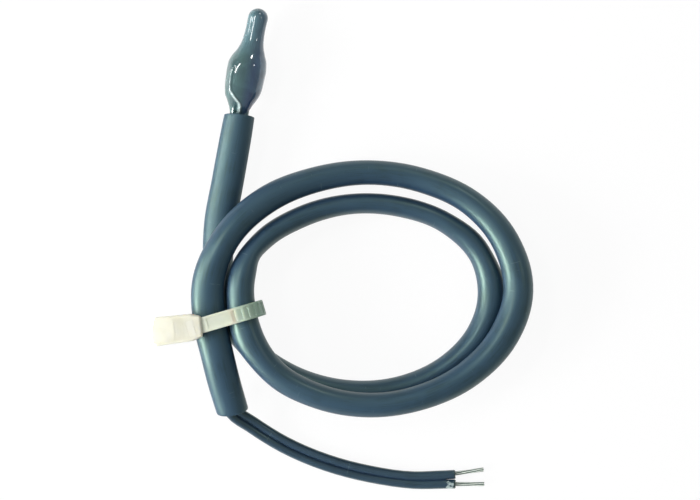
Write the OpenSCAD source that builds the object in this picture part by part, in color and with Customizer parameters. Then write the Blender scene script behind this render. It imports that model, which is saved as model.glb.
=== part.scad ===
// Dipped thermistor probe on a sleeved two-core lead, coiled in two turns and tied.
// Millimetres, +Z up. The head lies along +Y with its nose towards +Y, and the origin is on
// the surface that everything lies on, below the middle of the head.

/* [Dipped head] */
// Length from the sleeve's mouth to the tip of the nose
head_len = 17.6; // [16.5:0.1:20]
// Diameter of the belly, which holds the solder joints
belly_d = 6.4; // [5.6:0.1:7.2]
// Diameter of the straight nose, which holds the chip
nose_d = 3.1; // [2.8:0.1:3.6]
// Length of the straight part of the nose
nose_len = 3; // [2:0.1:4]
// Thickness of resin on each leg
coat_t = 0.12; // [0.08:0.01:0.2]
// How far the coated legs reach into the sleeve
leg_in = 2; // [1:0.1:4]
// Distance between the centres of the two legs
leg_pitch = 1.5; // [1.45:0.01:1.6]

/* [Sensing chip] */
// Diameter of the ceramic chip
chip_d = 2; // [1.6:0.1:2.1]
// Distance from the tip of the nose to the chip's centre
chip_back = 2.5; // [2.2:0.1:3.5]
// Thickness of each fired silver electrode
electrode_t = 0.1; // [0.05:0.01:0.15]
// Bare rim of the chip around each electrode
electrode_rim = 0.15; // [0.1:0.01:0.3]
// Diameter of the chip's own tinned leads
element_d = 0.3; // [0.2:0.01:0.4]
// Film of solder between a lead and its electrode
film_t = 0.02; // [0.01:0.01:0.03]

/* [Solder joints] */
// Diameter of a joint
joint_d = 1.24; // [1:0.01:1.3]
// Length of a joint
joint_len = 3; // [2.5:0.1:3.6]
// Distance from the sleeve's mouth to the joints
joint_from = 3.5; // [3.2:0.1:4]
// How far a stripped conductor reaches into its joint
strand_in = 1.5; // [1:0.1:1.6]
// How far a chip lead reaches into its joint
element_in = 1; // [0.6:0.1:1.2]

/* [Twin lead] */
// Diameter of one insulated core, which is the lead's thickness
core_d = 1.3; // [1.2:0.01:1.36]
// Diameter of a stranded conductor
strand_d = 0.58; // [0.4:0.01:0.7]
// Running gap between a conductor and its insulation
strand_gap = 0.02; // [0.01:0.01:0.04]
// Distance from the sleeve's mouth to the stripped ends inside the head
strip_at = 2.5; // [2:0.1:3]
// Length of the cores that are torn apart at the free end
split_len = 1.6; // [1:0.1:4]
// Angle of each core away from the lead at the free end
split_angle = [1, 7]; // [0:1:12]
// Diameter of a tinned wire end
tinned_d = 0.62; // [0.6:0.01:0.8]
// Length of a tinned wire end
tinned_len = 4.7; // [3:0.1:8]

/* [Sleeve] */
// Outside diameter of the sleeve
sleeve_od = 4.5; // [4.3:0.05:4.55]
// Wall of the sleeve
sleeve_wall = 0.4; // [0.3:0.05:0.5]

/* [Cable tie] */
// Width of the strap
strap_w = 2.5; // [2.2:0.1:3]
// Thickness of the strap
strap_t = 1.1; // [0.9:0.05:1.3]
// Distance from one ratchet tooth to the next
tooth_pitch = 1.1; // [0.9:0.05:1.5]
// Depth of a ratchet tooth
tooth_h = 0.22; // [0.1:0.01:0.3]
// Clearance between the strap and the sleeve
tie_gap = 0.25; // [0.24:0.01:0.3]
// Clearance between the strap and its slot
slot_gap = 0.15; // [0.1:0.01:0.25]
// Length of the tie's head
tie_head_len = 8.4; // [7:0.1:10]
// Width of the tie's head
tie_head_w = 4.7; // [4.4:0.1:6]
// Height of the tie's head
tie_head_h = 3.8; // [3.2:0.1:4.4]
// Stub of strap left above the head where the tail was cut off
stub = 0.4; // [0.2:0.1:2]

/* [Hidden] */
$fn = 48;
cord_sides = 8;
sleeve_sides = 12;

// Heights and places along the head, measured from the origin.
head_z = belly_d / 2;
mouth_y = (leg_in - head_len) / 2;
tip_y = mouth_y + head_len;
chip_y = tip_y - chip_back;
chip_t = leg_pitch - element_d - 2 * electrode_t - 2 * film_t;
joint_y = mouth_y + joint_from;
joint_top_y = joint_y + joint_len;
strip_y = mouth_y + strip_at;
leg_x = leg_pitch / 2;

// A swept core is an eight-sided tube whose flats stand half a core's diameter from its centre,
// so that two cores side by side share one flat, which is the web between them.
flat_turn = 180 / cord_sides;
core_r = core_d / 2 / cos(flat_turn);
strand_r = strand_d / 2;
bore_r = strand_r + strand_gap;

// The tie stands across three runs of sleeve: one below and two resting on it.
tie_turn = 26.5;
tie_mid = [4, -39.9];
tie_right = 2.5;
tie_left = 2.9;
run_gap = 0.12;
tie_along = [cos(tie_turn), sin(tie_turn), 0];
tie_low_z = strap_t + tie_gap + sleeve_od / 2;
function rest_z(aside) = tie_low_z + sqrt(pow(sleeve_od + run_gap, 2) - pow(aside, 2));
tie_right_z = rest_z(tie_right);
tie_left_z = rest_z(tie_left);
function at_tie(aside, z) = [tie_mid.x, tie_mid.y, z] + aside * tie_along;

// The sleeve's route, from the head's legs round both turns to its free end.
sleeve_route = [
    [0, mouth_y, head_z], [0, -11, 3.2], [0, -18, 2.6], [0, -25.5, 2.3], [1, -32.5, 2.4],
    at_tie(0, tie_low_z),
    [8.5, -44.4, 2.7], [15.5, -47.4, 2.3], [24.5, -48.3, 2.3], [32.6, -46.4, 2.3],
    [40.2, -41.2, 2.3], [44, -35.7, 2.3], [45.1, -29.2, 2.3], [42.7, -23.3, 2.3],
    [35.8, -18.8, 2.3], [27.5, -17.5, 2.3], [20.5, -18.4, 2.6], [12.6, -22, 3.7],
    [7.1, -27.1, 5.4], [5.2, -32.5, 7],
    at_tie(tie_right, tie_right_z),
    [8.3, -42.7, 7.5], [13.1, -47.3, 7], [20.5, -49.7, 6.9], [28.9, -49.6, 6.7],
    [36.9, -46.8, 6.6], [43.7, -41.7, 6], [48, -34.9, 5.6], [49, -27.5, 5.1], [45.6, -20, 4.4],
    [39.1, -14.9, 3.2], [30.5, -12.7, 2.3], [22, -13, 2.6], [13.6, -15.8, 3.7],
    [6.5, -20.5, 5.5], [1.5, -27.5, 7.1], [0, -34.5, 7.3],
    at_tie(-tie_left, tie_left_z),
    [3.3, -45.8, 6.5], [5.2, -50.2, 5.1], [7.3, -54.5, 3.5]
];
// The twin lead's route beyond the sleeve, to where its cores part.
lead_route = [
    [10.8, -56.3, 1.9], [16.5, -58.6, 0.7], [23.5, -60.2, 0.65], [31, -60.8, 0.65],
    [38, -60.5, 0.65], [43, -59.5, 0.65]
];

// A smooth path through a route: at each point it runs in the direction that the two
// neighbouring stretches share, weighted by their lengths.
function unit(v) = v / norm(v);
function heading(p, i) =
    i == 0 ? unit(p[1] - p[0]) :
    i == len(p) - 1 ? unit(p[i] - p[i - 1]) :
    let (a = p[i] - p[i - 1], b = p[i + 1] - p[i])
    unit(a / norm(a) * norm(b) + b / norm(b) * norm(a));
function on_path(p, i, t) =
    let (d = norm(p[i + 1] - p[i]), a = heading(p, i) * d, b = heading(p, i + 1) * d)
    p[i] * (1 + t * t * (2 * t - 3)) + a * t * (1 - t) * (1 - t)
    + p[i + 1] * t * t * (3 - 2 * t) - b * t * t * (1 - t);
function along_path(p, i, t) =
    let (d = norm(p[i + 1] - p[i]), a = heading(p, i) * d, b = heading(p, i + 1) * d)
    unit((p[i + 1] - p[i]) * 6 * t * (1 - t) + a * (1 - t) * (1 - 3 * t) + b * t * (3 * t - 2));

// A station is [centre, direction, sideways, upwards].
function station(c, d) = let (s = unit(cross(d, [0, 0, 1]))) [c, d, s, cross(s, d)];
function stations(p, from, to, steps) = [
    for (i = [from:to - 1], k = [0:steps - 1])
    station(on_path(p, i, k / steps), along_path(p, i, k / steps))
];
function ring(st, aside, r, sides, turn) = [
    for (k = [0:sides - 1])
    st[0] + (aside + r * cos(turn + 360 * k / sides)) * st[2] + r * sin(turn + 360 * k / sides) * st[3]
];

// Faces of a wall that joins ring a to ring b, looking from outside or from inside a tube.
function wall(a, b, n, inside = false) = [
    for (k = [0:n - 1])
    let (j = (k + 1) % n)
    inside ? [a + k, b + k, b + j, a + j] : [a + k, a + j, b + j, b + k]
];

module along_y(x, y) {
    translate([x, y, head_z]) rotate([-90, 0, 0]) children();
}

// The prism that a core or a conductor fills where it runs straight inside the head.
module straight_core(x, from, to, r) {
    along_y(x, from) rotate([0, 0, flat_turn]) cylinder(h = to - from, r = r, $fn = cord_sides);
}

// Half section of the dipped resin, as [radius, place along the head]: it swells from between
// the legs to the belly, draws in to the straight nose and ends in a round tip.
swell = [
    [0.05, 0.2], [0.08, 0.38], [0.14, 0.56], [0.2, 0.76], [0.26, 0.87], [0.33, 0.93],
    [0.45, 0.99], [0.54, 1], [0.65, 0.975], [0.71, 0.9], [0.77, 0.79], [0.83, 0.65],
    [0.89, 0.56], [0.95, 0.505], [1, nose_d / belly_d]
];
flank_len = head_len - nose_len - nose_d / 2;
flank = [for (s = swell) [s.y * belly_d / 2, mouth_y + s.x * flank_len]];
flank_steps = 3;
tip_steps = 12;
resin_outline = concat(
    [[0, flank[0].y]],
    [
        for (i = [0:len(flank) - 2], k = [0:flank_steps - 1])
        let (p = on_path(flank, i, k / flank_steps)) [min(p.x, belly_d / 2), p.y]
    ],
    [[nose_d / 2, tip_y - nose_d / 2 - nose_len]],
    [
        for (k = [0:tip_steps - 1])
        let (a = 90 * k / tip_steps) [nose_d / 2 * cos(a), tip_y - nose_d / 2 * (1 - sin(a))]
    ],
    [[0, tip_y]]
);
// Each leg's coat flares inside the bottom of the swell.
coat_r = core_d / 2 + coat_t;
leg_flare_r = 1.1;
leg_flare_len = 2.4;

module epoxy_head() {
    color([0.3, 0.4, 0.44])
    difference() {
        union() {
            along_y(0, 0) rotate_extrude() polygon(resin_outline);
            for (x = [-leg_x, leg_x]) {
                along_y(x, mouth_y - leg_in) cylinder(h = leg_in, r = coat_r);
                along_y(x, mouth_y) cylinder(h = leg_flare_len, r1 = coat_r, r2 = leg_flare_r);
            }
        }
        for (x = [-leg_x, leg_x]) {
            straight_core(x, mouth_y - leg_in - 1, strip_y, core_r);
            straight_core(x, strip_y - 1, joint_y + 1, strand_r);
            joint_outline(x);
            element_lead(x);
            electrode(sign(x));
        }
        thermistor_chip();
    }
}

module thermistor_chip() {
    color([0.2, 0.2, 0.22])
    translate([0, chip_y, head_z]) rotate([0, 90, 0]) cylinder(h = chip_t, d = chip_d, center = true);
}

module electrode(side) {
    color([0.8, 0.8, 0.8])
    translate([side * (chip_t + electrode_t) / 2, chip_y, head_z]) rotate([0, 90, 0])
    cylinder(h = electrode_t, r = chip_d / 2 - electrode_rim, center = true);
}

module element_lead(x) {
    color([0.75, 0.75, 0.75])
    along_y(x, joint_top_y - element_in)
    cylinder(h = chip_y + chip_d / 2 - electrode_rim - joint_top_y + element_in, d = element_d);
}

// A solder joint is a barrel with drawn ends.
module joint_outline(x) {
    r = joint_d / 2;
    along_y(x, joint_y)
    rotate_extrude()
    polygon([
        [0, 0], [0.72 * r, 0], [0.93 * r, 0.1 * joint_len], [r, 0.25 * joint_len],
        [r, 0.7 * joint_len], [0.86 * r, 0.86 * joint_len], [0.55 * r, joint_len], [0, joint_len]
    ]);
}

module solder_joint(x) {
    color([0.7, 0.7, 0.72])
    difference() {
        joint_outline(x);
        straight_core(x, joint_y - 1, joint_y + strand_in, strand_r);
        element_lead(x);
    }
}

// Stations of the twin lead: its legs stand apart inside the head, then the cores share a web
// all the way to where they part again at the free end.
lead_path = concat([for (i = [1:len(sleeve_route) - 1]) sleeve_route[i]], lead_route);
sleeve_end = len(sleeve_route) - 2;
lead_end = len(lead_path) - 1;
lead_stations = concat(
    [station([0, strip_y, head_z], [0, -1, 0]), station([0, mouth_y - leg_in, head_z], [0, -1, 0])],
    stations(lead_path, 0, sleeve_end, 2),
    stations(lead_path, sleeve_end, lead_end, 1),
    [station(lead_path[lead_end], heading(lead_path, lead_end))]
);
leg_stations = 2;
function core_aside(k) = k < leg_stations ? leg_x : core_d / 2;
function webbed(k) = k >= leg_stations && k < len(lead_stations);

// The last station of one core, side 1 or -1, which leaves the lead at its own angle.
function core_end(side) =
    let (
        st = lead_stations[len(lead_stations) - 1],
        a = split_angle[side > 0 ? 0 : 1],
        d = cos(a) * st[1] + side * sin(a) * st[2]
    )
    station(st[0] + side * core_d / 2 * st[2] + split_len * d, d);
function core_points(side, r) = [
    for (k = [0:len(lead_stations) - 1])
    each ring(lead_stations[k], side * core_aside(k), r, cord_sides, flat_turn),
    each ring(core_end(side), 0, r, cord_sides, flat_turn)
];

// Corners of the four nested tubes: the two cores' skins, then their two bores.
core_rings = len(lead_stations) + 1;
function corner(tube, k, j) =
    let (n = j % cord_sides)
    tube == 1 && webbed(k) && n == 0 ? corner(0, k, cord_sides / 2 - 1) :
    tube == 1 && webbed(k) && n == cord_sides - 1 ? corner(0, k, cord_sides / 2) :
    (tube * core_rings + k) * cord_sides + n;
function is_web(tube, j) = tube == 0 ? j == cord_sides / 2 - 1 : j == cord_sides - 1;

module lead_insulation() {
    skins = [
        for (tube = [0, 1], k = [0:core_rings - 2], j = [0:cord_sides - 1])
        if (!(webbed(k) && webbed(k + 1) && is_web(tube, j)))
        [corner(tube, k, j), corner(tube, k, j + 1), corner(tube, k + 1, j + 1), corner(tube, k + 1, j)]
    ];
    bores = [
        for (tube = [2, 3], k = [0:core_rings - 2], j = [0:cord_sides - 1])
        [corner(tube, k, j), corner(tube, k + 1, j), corner(tube, k + 1, j + 1), corner(tube, k, j + 1)]
    ];
    ends = [
        for (tube = [0, 1], j = [0:cord_sides - 1])
        each [
            [corner(tube, 0, j), corner(tube + 2, 0, j), corner(tube + 2, 0, j + 1), corner(tube, 0, j + 1)],
            let (k = core_rings - 1)
            [corner(tube, k, j), corner(tube, k, j + 1), corner(tube + 2, k, j + 1), corner(tube + 2, k, j)]
        ]
    ];
    color([0.15, 0.18, 0.22])
    polyhedron(
        concat(
            core_points(1, core_r), core_points(-1, core_r),
            core_points(1, bore_r), core_points(-1, bore_r)
        ),
        concat(skins, bores, ends)
    );
}

// A stranded conductor from its solder joint to its tinned end beyond the insulation.
module conductor(side) {
    tip = core_end(side);
    first = station([0, joint_y + strand_in, head_z], [0, -1, 0]);
    start = ring(first, side * leg_x, strand_r, cord_sides, flat_turn);
    color([0.8, 0.78, 0.74]) {
        solid_tube(concat(start, core_points(side, strand_r)), cord_sides);
        translate(tip[0]) rotate([0, 90, atan2(tip[1].y, tip[1].x)]) cylinder(h = tinned_len, d = tinned_d);
    }
}

module solid_tube(points, n) {
    rings = len(points) / n;
    polyhedron(
        points,
        concat(
            [for (k = [0:rings - 2]) each wall(k * n, (k + 1) * n, n)],
            [[for (j = [n - 1:-1:0]) j], [for (j = [0:n - 1]) (rings - 1) * n + j]]
        )
    );
}

module sleeve() {
    n = sleeve_sides;
    track = concat(
        stations(sleeve_route, 0, len(sleeve_route) - 1, 2),
        [station(sleeve_route[len(sleeve_route) - 1], heading(sleeve_route, len(sleeve_route) - 1))]
    );
    rings = len(track);
    outside = [for (st = track) each ring(st, 0, sleeve_od / 2, n, 0)];
    inside = [for (st = track) each ring(st, 0, sleeve_od / 2 - sleeve_wall, n, 0)];
    inner = rings * n;
    last = (rings - 1) * n;
    color([0.25, 0.33, 0.38])
    polyhedron(
        concat(outside, inside),
        concat(
            [for (k = [0:rings - 2]) each wall(k * n, (k + 1) * n, n)],
            [for (k = [0:rings - 2]) each wall(inner + k * n, inner + (k + 1) * n, n, true)],
            wall(0, inner, n, true),
            wall(last, inner + last, n)
        )
    );
}

// The tie is drawn looking along the sleeve's runs: x goes along the strap and y is the height.
// Its strap leaves the head over the left run, goes round the right and the low run, and comes
// up through the slot.
strap_r = sleeve_od / 2 + tie_gap + strap_t;
left_run = [-tie_left, tie_left_z];
right_run = [tie_right, tie_right_z];
// The low run crosses the strap askew, so the strap stands a little to its right.
low_aside = 0.15;
low_run = [low_aside, tie_low_z];
root_turn = 115;
head_rise = 0.2;
tie_top_z = tie_left_z + strap_r + head_rise;
tail_top_z = tie_top_z + stub;
function outward(a, b) = atan2(b.y - a.y, b.x - a.x) + 90;
bends = [
    [left_run, root_turn, outward(left_run, right_run)],
    [right_run, outward(left_run, right_run), outward(right_run, low_run)],
    [low_run, outward(right_run, low_run), outward(low_run, left_run) - 360],
    [left_run, outward(low_run, left_run) - 360, -180]
];
function bend_len(i) = strap_r * (bends[i][1] - bends[i][2]) * PI / 180;
function straight_len(i) = i == 3 ? tail_top_z - tie_left_z : norm(bends[i + 1][0] - bends[i][0]);
strap_len = bend_len(0) + straight_len(0) + bend_len(1) + straight_len(1)
    + bend_len(2) + straight_len(2) + bend_len(3) + straight_len(3);

// The point that lies s along the strap's outer face and a depth below it.
function strap_at(s, depth, i = 0) =
    let (bend = bend_len(i), turned = min(s, bend), a = bends[i][1] - turned / strap_r * 180 / PI)
    i < 3 && s > bend + straight_len(i) ? strap_at(s - bend - straight_len(i), depth, i + 1) :
    bends[i][0] + (strap_r - depth) * [cos(a), sin(a)] + (s - turned) * [sin(a), -cos(a)];

smooth_root = 5;
root_steps = 5;
tooth_rise = 0.7;
teeth = floor((strap_len - smooth_root) / tooth_pitch);
tooth_start = strap_len - teeth * tooth_pitch;
inner_steps = 64;
strap_outline = concat(
    [for (k = [0:root_steps - 1]) strap_at(k / root_steps * tooth_start, 0)],
    [
        for (k = [0:teeth - 1])
        let (s = tooth_start + k * tooth_pitch, top = s + tooth_rise * tooth_pitch)
        each [strap_at(s, 0), strap_at(top, tooth_h), strap_at(top, 0)]
    ],
    [strap_at(strap_len, 0)],
    [for (k = [inner_steps:-1:0]) strap_at(k / inner_steps * strap_len, strap_t)]
);

// The head's shoulders stop short of the left run's middle, and a floor closes its pawl's pocket.
shoulder_clear = 1.3;
tie_right_end = -tie_left - shoulder_clear;
tie_left_end = tie_right_end - tie_head_len;
// The head sits a little askew on its strap, round a point between its slot and its shoulders.
head_skew = 9.5;
skew_in = 1.1;
skew_at = tie_right_end - skew_in;
strap_face = -tie_left - strap_r;
floor_t = 0.9;
floor_z = tie_top_z - tie_head_h + floor_t;
pocket_len = 1.9;
pawl_gap = 0.05;
pawl_t = 0.6;
pawl_lean = 0.5;
// Heights of the two tooth walls that the pawl stops.
upper_wall_z = tail_top_z - (2 - tooth_rise) * tooth_pitch;
lower_wall_z = upper_wall_z - tooth_pitch;
tooth_len = tooth_rise * tooth_pitch;
pawl_outline = [
    [strap_face - 2 * pawl_gap - pawl_t, upper_wall_z - pawl_gap],
    [strap_face + tooth_h - pawl_gap, upper_wall_z - pawl_gap],
    [strap_face - 2 * pawl_gap, upper_wall_z - tooth_len],
    [strap_face - 2 * pawl_gap, lower_wall_z - pawl_gap],
    [strap_face + tooth_h - pawl_gap, lower_wall_z - pawl_gap],
    [strap_face - 2 * pawl_gap, lower_wall_z - tooth_len],
    [strap_face - 2 * pawl_gap - pawl_lean, floor_z - pawl_gap],
    [strap_face - 2 * pawl_gap - pawl_lean - pawl_t, floor_z - pawl_gap]
];

module across_runs(width) {
    translate([tie_mid.x, tie_mid.y, 0]) rotate([90, 0, tie_turn])
    linear_extrude(width, center = true) children();
}

// The head seen from above: a rounded far end, sides that draw in and shoulders at the strap.
module tie_head_plan() {
    round_r = 1.3;
    edge_r = 0.4;
    shoulder_len = 1.7;
    shoulder_step = 0.1;
    draw_in = 0.2;
    hull() {
        for (side = [-1, 1]) {
            translate([tie_left_end + round_r, side * (tie_head_w / 2 - round_r)])
            circle(round_r);
            translate([tie_right_end - shoulder_len, side * (tie_head_w / 2 - draw_in - edge_r)])
            circle(edge_r);
            translate([tie_right_end - edge_r, side * (strap_w / 2 + shoulder_step)])
            circle(edge_r);
        }
    }
}

module cable_tie() {
    slot_w = strap_w + 2 * slot_gap;
    slot_from = strap_face - slot_gap;
    slot_to = strap_face + strap_t + slot_gap;
    color([0.93, 0.93, 0.84]) {
        difference() {
            translate([tie_mid.x, tie_mid.y, tie_top_z - tie_head_h])
            rotate([0, 0, tie_turn])
            translate([skew_at, 0, 0])
            rotate([0, 0, -head_skew])
            translate([-skew_at, 0, 0])
            linear_extrude(tie_head_h)
            tie_head_plan();
            across_runs(slot_w) {
                translate([slot_from, 0]) square([slot_to - slot_from, tie_top_z + 1]);
                translate([slot_from - pocket_len, floor_z]) square([pocket_len + slot_gap, tie_head_h]);
            }
            across_runs(tie_head_w + 1) translate(left_run) circle(strap_r - strap_t);
        }
        across_runs(strap_w) {
            polygon(strap_outline);
            polygon(pawl_outline);
        }
    }
}

epoxy_head();
thermistor_chip();
electrode(-1);  // electrode_left
electrode(1);  // electrode_right
element_lead(-leg_x);  // element_lead_left
element_lead(leg_x);  // element_lead_right
solder_joint(-leg_x);  // solder_joint_left
solder_joint(leg_x);  // solder_joint_right
conductor(1);  // conductor_left
conductor(-1);  // conductor_right
lead_insulation();
sleeve();
cable_tie();
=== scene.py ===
import math

import bmesh
import bpy
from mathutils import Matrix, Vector, noise


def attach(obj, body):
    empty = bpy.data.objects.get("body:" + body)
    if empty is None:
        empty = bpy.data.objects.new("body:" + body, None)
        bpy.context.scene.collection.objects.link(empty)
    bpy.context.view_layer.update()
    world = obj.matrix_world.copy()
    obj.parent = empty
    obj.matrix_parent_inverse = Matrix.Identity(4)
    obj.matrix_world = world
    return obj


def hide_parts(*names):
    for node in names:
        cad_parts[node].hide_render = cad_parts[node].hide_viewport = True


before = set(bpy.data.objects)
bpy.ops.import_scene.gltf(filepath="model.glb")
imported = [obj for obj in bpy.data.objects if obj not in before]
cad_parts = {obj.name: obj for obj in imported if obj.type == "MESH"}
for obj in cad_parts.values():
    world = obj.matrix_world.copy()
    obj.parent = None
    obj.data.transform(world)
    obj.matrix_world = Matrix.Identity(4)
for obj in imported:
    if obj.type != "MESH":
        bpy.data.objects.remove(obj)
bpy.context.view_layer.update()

MM = 0.001

# ---------------------------------------------------------------- camera

AIM = Vector((21.3, -25.8, 3)) * MM
DISTANCE = 0.6
PICTURE_W = 0.1125
SENSOR_W = 36
# The picture's upward side is turned this far from the part's +Y.
UP_TURN = math.radians(10.24)


def placed(name, data):
    """A new object with the given data, in the scene."""
    ob = bpy.data.objects.new(name, data)
    bpy.context.collection.objects.link(ob)
    return ob


cam_data = bpy.data.cameras.new("camera")
cam_data.sensor_width = SENSOR_W
cam_data.lens = SENSOR_W * DISTANCE / PICTURE_W
cam_data.clip_start = 0.01
camera = placed("camera", cam_data)
camera.location = AIM + Vector((0, 0, DISTANCE))
camera.rotation_euler = (0, 0, UP_TURN)
bpy.context.scene.camera = camera

# ---------------------------------------------------------------- routes

# All sizes from here to the lamps are in millimetres.
HEAD_Z = 3.2
MOUTH_Y = -7.8
SLEEVE_D = 4.5
CORE_D = 1.3

# The sleeve's route, as in the part's source: the head's legs, the first turn up to the tie, the
# second turn, and the free end.
SLEEVE_ROUTE = [
    (0, MOUTH_Y, HEAD_Z), (0, -11, 3.2), (0, -18, 2.6), (0, -25.5, 2.3), (1, -32.5, 2.4),
    (4, -39.9, 3.6),
    (8.5, -44.4, 2.7), (15.5, -47.4, 2.3), (24.5, -48.3, 2.3), (32.6, -46.4, 2.3),
    (40.2, -41.2, 2.3), (44, -35.7, 2.3), (45.1, -29.2, 2.3), (42.7, -23.3, 2.3),
    (35.8, -18.8, 2.3), (27.5, -17.5, 2.3), (20.5, -18.4, 2.6), (12.6, -22, 3.7),
    (7.1, -27.1, 5.4), (5.2, -32.5, 7),
    (6.2373, -38.7845, 7.485),
    (8.3, -42.7, 7.5), (13.1, -47.3, 7), (20.5, -49.7, 6.9), (28.9, -49.6, 6.7),
    (36.9, -46.8, 6.6), (43.7, -41.7, 6), (48, -34.9, 5.6), (49, -27.5, 5.1), (45.6, -20, 4.4),
    (39.1, -14.9, 3.2), (30.5, -12.7, 2.3), (22, -13, 2.6), (13.6, -15.8, 3.7),
    (6.5, -20.5, 5.5), (1.5, -27.5, 7.1), (0, -34.5, 7.3),
    (1.4047, -41.194, 7.1964),
    (3.3, -45.8, 6.5), (5.2, -50.2, 5.1), (7.3, -54.5, 3.5),
]
# Half the sleeve's width seen from above at each point of its route: it flattens in places.
HALF_WIDTH = [
    2.44, 2.54, 2.58, 2.58, 2.4, 2.25, 2.1, 1.85, 1.85, 1.85, 1.85, 2.07, 2.3, 2.1,
    1.7, 1.66, 1.64, 1.73, 1.74, 2.24, 2.3, 2.24, 2.1, 2.02, 1.98, 2.05, 2.25, 2.42, 2.42, 2.3,
    2.07, 2.0, 1.98, 2.08, 2.25, 2.3, 2.62, 2.7, 2.64, 2.62, 2.55,
]
# The twin lead's route beyond the sleeve.
LEAD_ROUTE = [
    (10.8, -56.3, 1.9), (16.5, -58.6, 0.7), (23.5, -60.2, 0.65), (31, -60.8, 0.65),
    (38, -60.5, 0.65), (43, -59.5, 0.65),
]


def heading(p, i):
    """Direction of a route at its point i."""
    if i == 0:
        return (p[1] - p[0]).normalized()
    if i == len(p) - 1:
        return (p[i] - p[i - 1]).normalized()
    a, b = p[i] - p[i - 1], p[i + 1] - p[i]
    return (a.normalized() * b.length + b.normalized() * a.length).normalized()


def on_path(p, i, t):
    """Point and direction at share t of stretch i of a route."""
    d = (p[i + 1] - p[i]).length
    a, b = heading(p, i) * d, heading(p, i + 1) * d
    at = p[i] * (1 + t * t * (2 * t - 3)) + a * t * (1 - t) ** 2
    at += p[i + 1] * t * t * (3 - 2 * t) - b * t * t * (1 - t)
    way = (p[i + 1] - p[i]) * 6 * t * (1 - t) + a * (1 - t) * (1 - 3 * t) + b * t * (3 * t - 2)
    return at, way.normalized()


def stations(p, steps, first=0, last=None):
    """Points along a route as (centre, direction, sideways, upwards)."""
    last = len(p) - 1 if last is None else last
    spots = [on_path(p, i, k / steps) for i in range(first, last) for k in range(steps)]
    spots.append((p[last], heading(p, last)))
    out = []
    for at, way in spots:
        side = way.cross(Vector((0, 0, 1))).normalized()
        out.append((at, way, side, side.cross(way)))
    return out


def run_lengths(track):
    """Length along a track at each of its stations."""
    total = [0.0]
    for a, b in zip(track, track[1:]):
        total.append(total[-1] + (b[0] - a[0]).length)
    return total


# ---------------------------------------------------------------- mesh building

class Shell:
    """Vertices, faces and face-corner coordinates of one piece, in millimetres."""

    def __init__(self):
        self.verts, self.faces, self.uvs = [], [], []

    def loft(self, loops, along, around=1.0, wrap=False):
        """Joins closed loops of equal length, the first to the last too where wrap is true."""
        n, first = len(loops[0]), len(self.verts)
        for loop in loops:
            self.verts.extend(loop)
        for k in range(len(loops) if wrap else len(loops) - 1):
            m = (k + 1) % len(loops)
            for j in range(n):
                i = (j + 1) % n
                corners = [(k, j), (k, i), (m, i), (m, j)]
                self.faces.append([first + a * n + b for a, b in corners])
                u0, u1 = around * j / n, around * (j + 1) / n
                self.uvs.append([(u0, along[k]), (u1, along[k]), (u1, along[m]), (u0, along[m])])
        return first

    def cap(self, first, n, flip=False, along=0):
        """Closes the loop of n vertices that starts at first with a fan round its middle."""
        loop = self.verts[first:first + n]
        middle = len(self.verts)
        self.verts.append(sum(loop, Vector()) / n)
        for j in range(n):
            face = [first + j, first + (j + 1) % n, middle]
            self.faces.append(face[::-1] if flip else face)
            self.uvs.append([(0, along)] * 3)

    def solid(self, loops, along, around=1.0, end_at=0):
        """Lofts the loops and closes both ends; end_at is the last cap's place along the run."""
        n, first = len(loops[0]), self.loft(loops, along, around)
        self.cap(first, n, True)
        self.cap(first + (len(loops) - 1) * n, n, along=end_at)

    def mesh(self, name):
        """The shell as a mesh, still in millimetres."""
        me = bpy.data.meshes.new(name)
        me.from_pydata(self.verts, [], self.faces)
        layer = me.uv_layers.new(name="flow")
        flat = [c for corners in self.uvs for uv in corners for c in uv]
        layer.data.foreach_set("uv", flat)
        return me

    def piece(self, name, material, sharp=None):
        return as_piece(self.mesh(name), name, material, sharp)


def as_piece(me, name, material, sharp=None):
    """Turns a mesh in millimetres into a finished piece; edges over sharp degrees stay crisp."""
    bm = bmesh.new()
    bm.from_mesh(me)
    bmesh.ops.recalc_face_normals(bm, faces=bm.faces)
    for v in bm.verts:
        v.co *= MM
    for face in bm.faces:
        face.smooth = True
    if sharp is not None:
        for edge in bm.edges:
            if len(edge.link_faces) == 2 and edge.calc_face_angle(0) > math.radians(sharp):
                edge.smooth = False
    bm.to_mesh(me)
    bm.free()
    me.materials.clear()
    me.materials.append(material)
    ob = placed(name, me)
    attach(ob, "root")
    return ob


def ring(st, r, n, aside=0.0, turn=0.0):
    """A circle of n points round a station."""
    at, _, side, up = st
    out = []
    for k in range(n):
        a = turn + 2 * math.pi * k / n
        out.append(at + side * (aside + r * math.cos(a)) + up * (r * math.sin(a)))
    return out


def smooth(t, a, b):
    """Rises from 0 at a to 1 at b, with soft ends."""
    t = max(0.0, min(1.0, (t - a) / (b - a)))
    return t * t * (3 - 2 * t)


def curve_at(table, y):
    """Smooth value at y of a table of (y, value), with y rising."""
    if y <= table[0][0]:
        return table[0][1]
    if y >= table[-1][0]:
        return table[-1][1]
    i = max(k for k in range(len(table) - 1) if table[k][0] <= y)

    def slope(k):
        a, b = max(k - 1, 0), min(k + 1, len(table) - 1)
        return (table[b][1] - table[a][1]) / (table[b][0] - table[a][0])
    d = table[i + 1][0] - table[i][0]
    t = (y - table[i][0]) / d
    a, b = table[i][1], table[i + 1][1]
    return (a * (1 + t * t * (2 * t - 3)) + slope(i) * d * t * (1 - t) ** 2
            + b * t * t * (3 - 2 * t) - slope(i + 1) * d * t * t * (1 - t))


# ---------------------------------------------------------------- materials

# Places and distances in the materials are in metres, apart from those along a loft's skin.

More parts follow.
